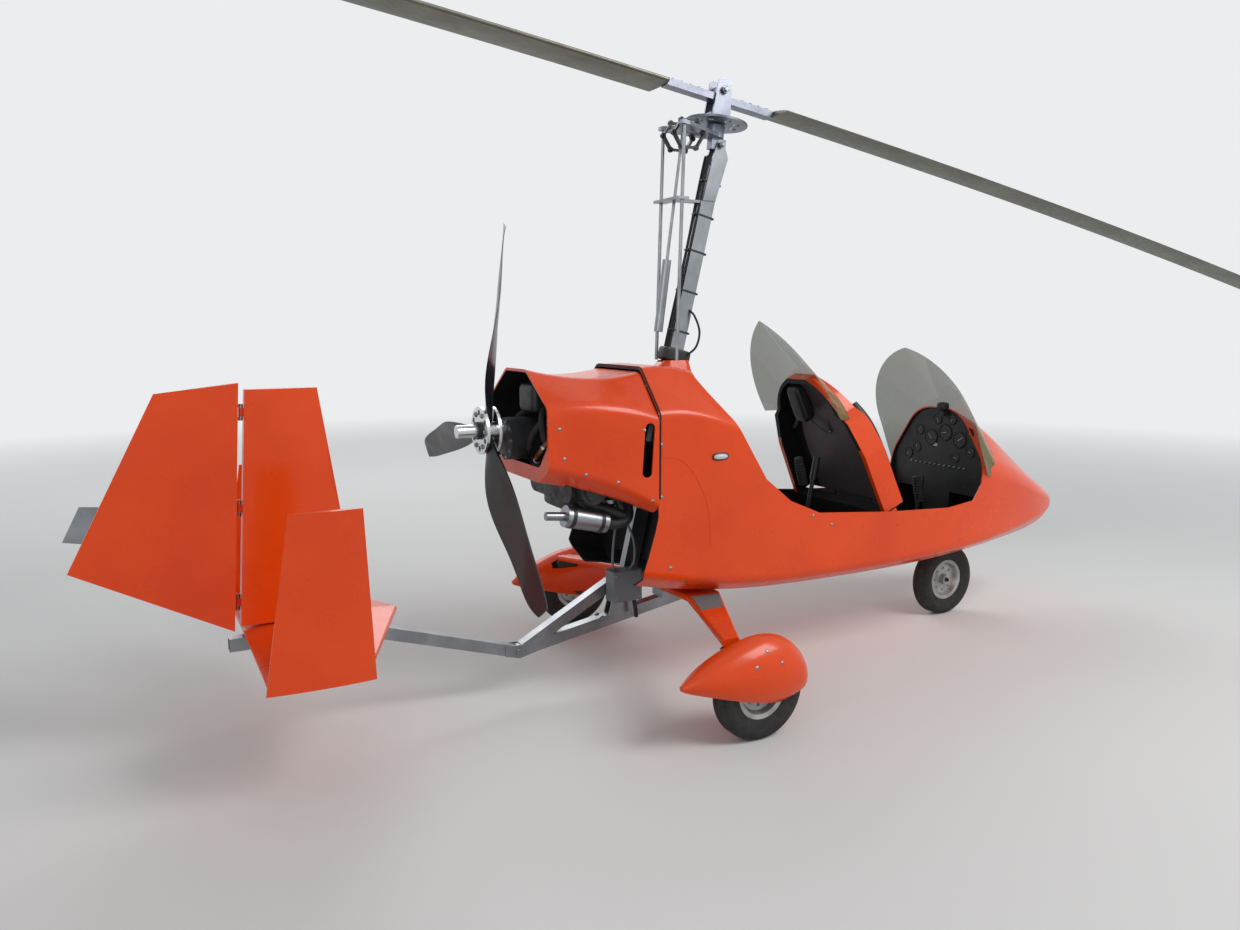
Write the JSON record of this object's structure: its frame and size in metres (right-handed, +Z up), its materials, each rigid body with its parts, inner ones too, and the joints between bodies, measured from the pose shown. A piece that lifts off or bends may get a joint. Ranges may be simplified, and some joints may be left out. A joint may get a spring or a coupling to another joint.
{
  "type": "tandem open gyrocopter",
  "caption": "Open tandem gyrocopter with a teetering rotor on a tall mast, a pusher propeller, twin outer fins, faired main wheels and a steered nose wheel.",
  "frame": {"origin": "on the ground under the rotor teeter bolt, on the centreline", "axes": "+X forward along the fuselage and the parked rotor, +Y to port, +Z up"},
  "size_m": [8.2807, 1.8884, 3.2259],
  "materials": {
    "orange_composite": "gloss",
    "stainless_steel": "satin",
    "dark_steel": "satin",
    "tyre": "matte",
    "cast_alloy": "satin",
    "anodised_alloy": "satin",
    "polished_alloy": "satin",
    "blade_alloy": "satin",
    "dark_engine": "matte",
    "black_plastic": "matte",
    "grey_paint": "satin",
    "black_composite": "satin",
    "seat_fabric": "matte",
    "tinted_screen": "gloss"
  },
  "bodies": {
    "airframe": {"fuselage_tub": "orange_composite", "engine_cowl": "orange_composite", "mast_fairing": "orange_composite", "wheel_fairing_left": "orange_composite", "wheel_fairing_right": "orange_composite", "central_fin": "orange_composite", "stabiliser": "orange_composite", "outer_fin_left": "orange_composite", "outer_fin_right": "orange_composite", "gear_leaf": "orange_composite", "seat_divider": "orange_composite", "mast": "stainless_steel", "keel_frame": "stainless_steel", "axle_bracket_left": "dark_steel", "axle_bracket_right": "dark_steel", "engine_block": "dark_engine", "airbox": "black_plastic", "muffler": "stainless_steel", "equipment_box": "grey_paint", "seat_base_front": "black_plastic", "seat_base_rear": "black_plastic", "seat_cushion_front": "seat_fabric", "seat_cushion_rear": "seat_fabric", "seat_back_front": "seat_fabric", "seat_back_rear": "seat_fabric", "instrument_panel": "black_plastic", "control_stick_front": "black_plastic", "control_stick_rear": "black_plastic", "windshield_front": "tinted_screen", "windshield_rear": "tinted_screen"},
    "nose_leg": {"nose_leg": "dark_steel"},
    "nose_wheel": {"tyre_nose": "tyre", "wheel_rim_nose": "cast_alloy"},
    "main_wheel_left": {"tyre_left": "tyre", "wheel_rim_left": "cast_alloy"},
    "main_wheel_right": {"tyre_right": "tyre", "wheel_rim_right": "cast_alloy"},
    "rudder": {"rudder": "orange_composite", "trim_tab": "stainless_steel"},
    "propeller": {"propeller_hub": "polished_alloy", "propeller_blade_1": "black_composite", "propeller_blade_2": "black_composite", "propeller_blade_3": "black_composite"},
    "rotor_head": {"rotor_head": "anodised_alloy"},
    "rotor_hub": {"rotor_hub": "anodised_alloy", "prerotator_gear": "anodised_alloy"},
    "rotor": {"hub_bar": "anodised_alloy", "rotor_blade_forward": "blade_alloy", "rotor_blade_aft": "blade_alloy"},
    "push_rod_left": {"push_rod_left": "stainless_steel"},
    "push_rod_right": {"push_rod_right": "stainless_steel"},
    "trim_cylinder": {"trim_cylinder": "stainless_steel"}
  },
  "joints": [
    {"name": "nose_steer", "type": "hinge", "parent": "airframe", "child": "nose_leg", "pos_m": [1.572, 0, 0.42], "axis": [0, 0, 1], "range_deg": [-20, 20]},
    {"name": "nose_wheel_spin", "type": "hinge", "parent": "nose_leg", "child": "nose_wheel", "pos_m": [1.572, 0, 0.2], "axis": [0, 1, 0], "continuous": true},
    {"name": "main_wheel_left_spin", "type": "hinge", "parent": "airframe", "child": "main_wheel_left", "pos_m": [-0.35, 0.848, 0.2], "axis": [0, 1, 0], "continuous": true},
    {"name": "main_wheel_right_spin", "type": "hinge", "parent": "airframe", "child": "main_wheel_right", "pos_m": [-0.35, -0.848, 0.2], "axis": [0, 1, 0], "continuous": true},
    {"name": "rudder_hinge", "type": "hinge", "parent": "airframe", "child": "rudder", "pos_m": [-2.165, 0, 0.483], "axis": [0.0672, 0, 0.9977], "range_deg": [-30, 30]},
    {"name": "propeller_spin", "type": "hinge", "parent": "airframe", "child": "propeller", "pos_m": [-1.15, 0, 1.193], "axis": [1, 0, 0], "continuous": true},
    {"name": "head_pitch", "type": "hinge", "parent": "airframe", "child": "rotor_head", "pos_m": [-0.006, 0, 2.44], "axis": [0, 1, 0], "range_deg": [-9, 9]},
    {"name": "rotor_spin", "type": "hinge", "parent": "rotor_head", "child": "rotor_hub", "pos_m": [0, 0, 2.675], "axis": [0.1219, 0, 0.9925], "continuous": true},
    {"name": "rotor_teeter", "type": "hinge", "parent": "rotor_hub", "child": "rotor", "pos_m": [0, 0, 2.675], "axis": [0.0519, 0.9986, -0.0064], "range_deg": [-10.5, 5.5]},
    {"name": "push_rod_left_slide", "type": "slide", "parent": "airframe", "child": "push_rod_left", "axis": [0.0294, 0, 0.9996], "range_m": [-0.04, 0.04]},
    {"name": "push_rod_right_slide", "type": "slide", "parent": "airframe", "child": "push_rod_right", "axis": [0.0294, 0, 0.9996], "range_m": [-0.04, 0.04]},
    {"name": "trim_cylinder_slide", "type": "slide", "parent": "airframe", "child": "trim_cylinder", "axis": [0.1358, 0, 0.9907], "range_m": [-0.034, 0.034]}
  ],
  "couplings": [
    {"joint": "rudder_hinge", "follows": "nose_steer", "ratio": -1.5},
    {"joint": "push_rod_left_slide", "follows": "head_pitch", "m_per_rad": 0.23734},
    {"joint": "push_rod_right_slide", "follows": "head_pitch", "m_per_rad": 0.23734},
    {"joint": "trim_cylinder_slide", "follows": "head_pitch", "m_per_rad": 0.19302}
  ]
}
